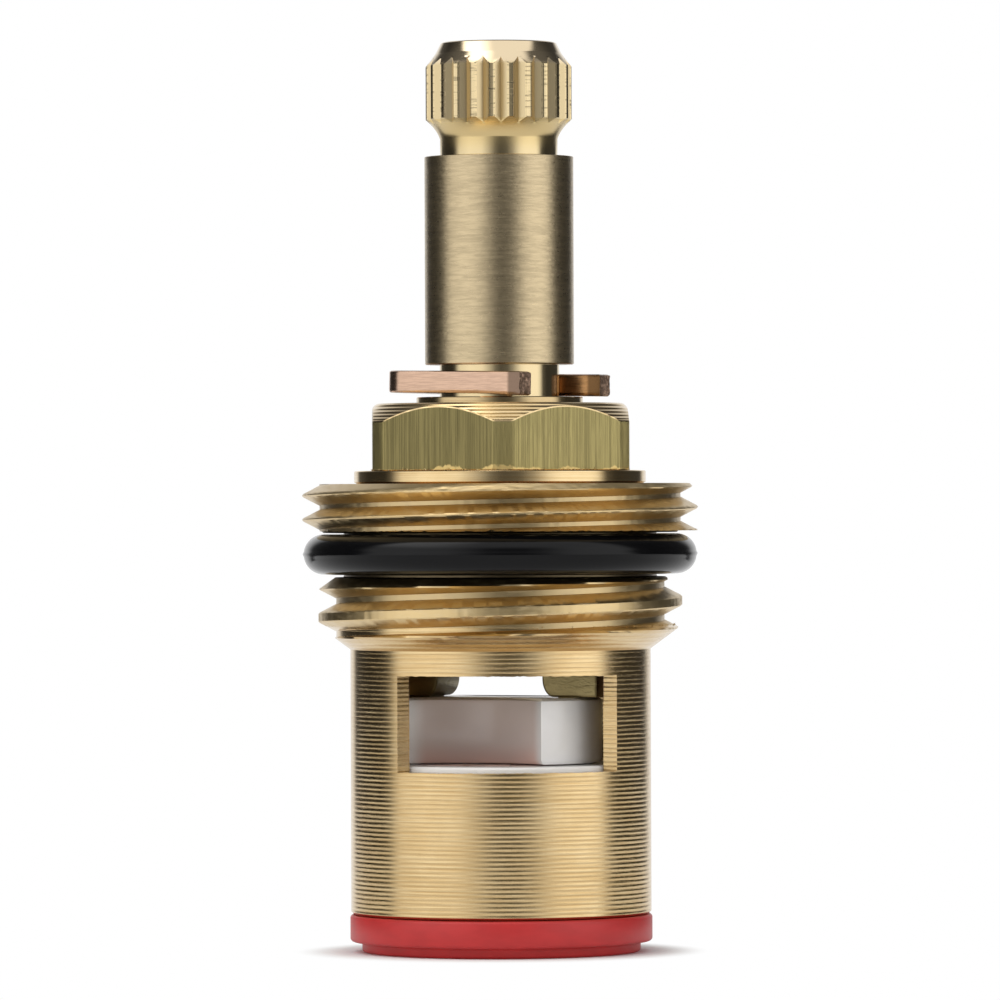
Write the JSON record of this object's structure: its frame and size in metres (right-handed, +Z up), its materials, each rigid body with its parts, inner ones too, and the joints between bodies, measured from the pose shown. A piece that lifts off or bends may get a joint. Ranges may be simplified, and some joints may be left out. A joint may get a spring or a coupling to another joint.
{
  "type": "ceramic disc tap cartridge",
  "caption": "Quarter-turn ceramic disc tap cartridge with a splined spindle, hexagon, threaded brass body, side windows and a rubber seat seal.",
  "frame": {"origin": "middle of the seat seal's lower lip, on the surface that the cartridge stands on", "axes": "+Z up along the spindle's axis, towards the splined head; one window faces -Y and the other faces +Y"},
  "size_m": [0.0218, 0.0218, 0.0499],
  "materials": {
    "turned_brass": "satin",
    "spindle_brass": "satin",
    "copper_alloy": "satin",
    "black_rubber": "satin",
    "red_rubber": "satin",
    "white_ceramic": "polished",
    "slide_plastic": "satin",
    "stiff_plastic": "matte"
  },
  "bodies": {
    "valve": {"valve_body": "turned_brass", "body_o_ring": "black_rubber", "slide_washer": "slide_plastic", "fixed_disc": "white_ceramic", "seat_seal": "red_rubber", "seal_support_ring": "stiff_plastic"},
    "turning_set": {"spindle": "spindle_brass", "retaining_clip": "copper_alloy", "spindle_o_ring_upper": "black_rubber", "spindle_o_ring_lower": "black_rubber", "moving_disc": "white_ceramic"}
  },
  "joints": [
    {"name": "spindle_turn", "type": "hinge", "parent": "valve", "child": "turning_set", "pos_m": [0, 0, 0.01788], "axis": [0, 0, 1], "range_deg": [-90, 0]}
  ]
}
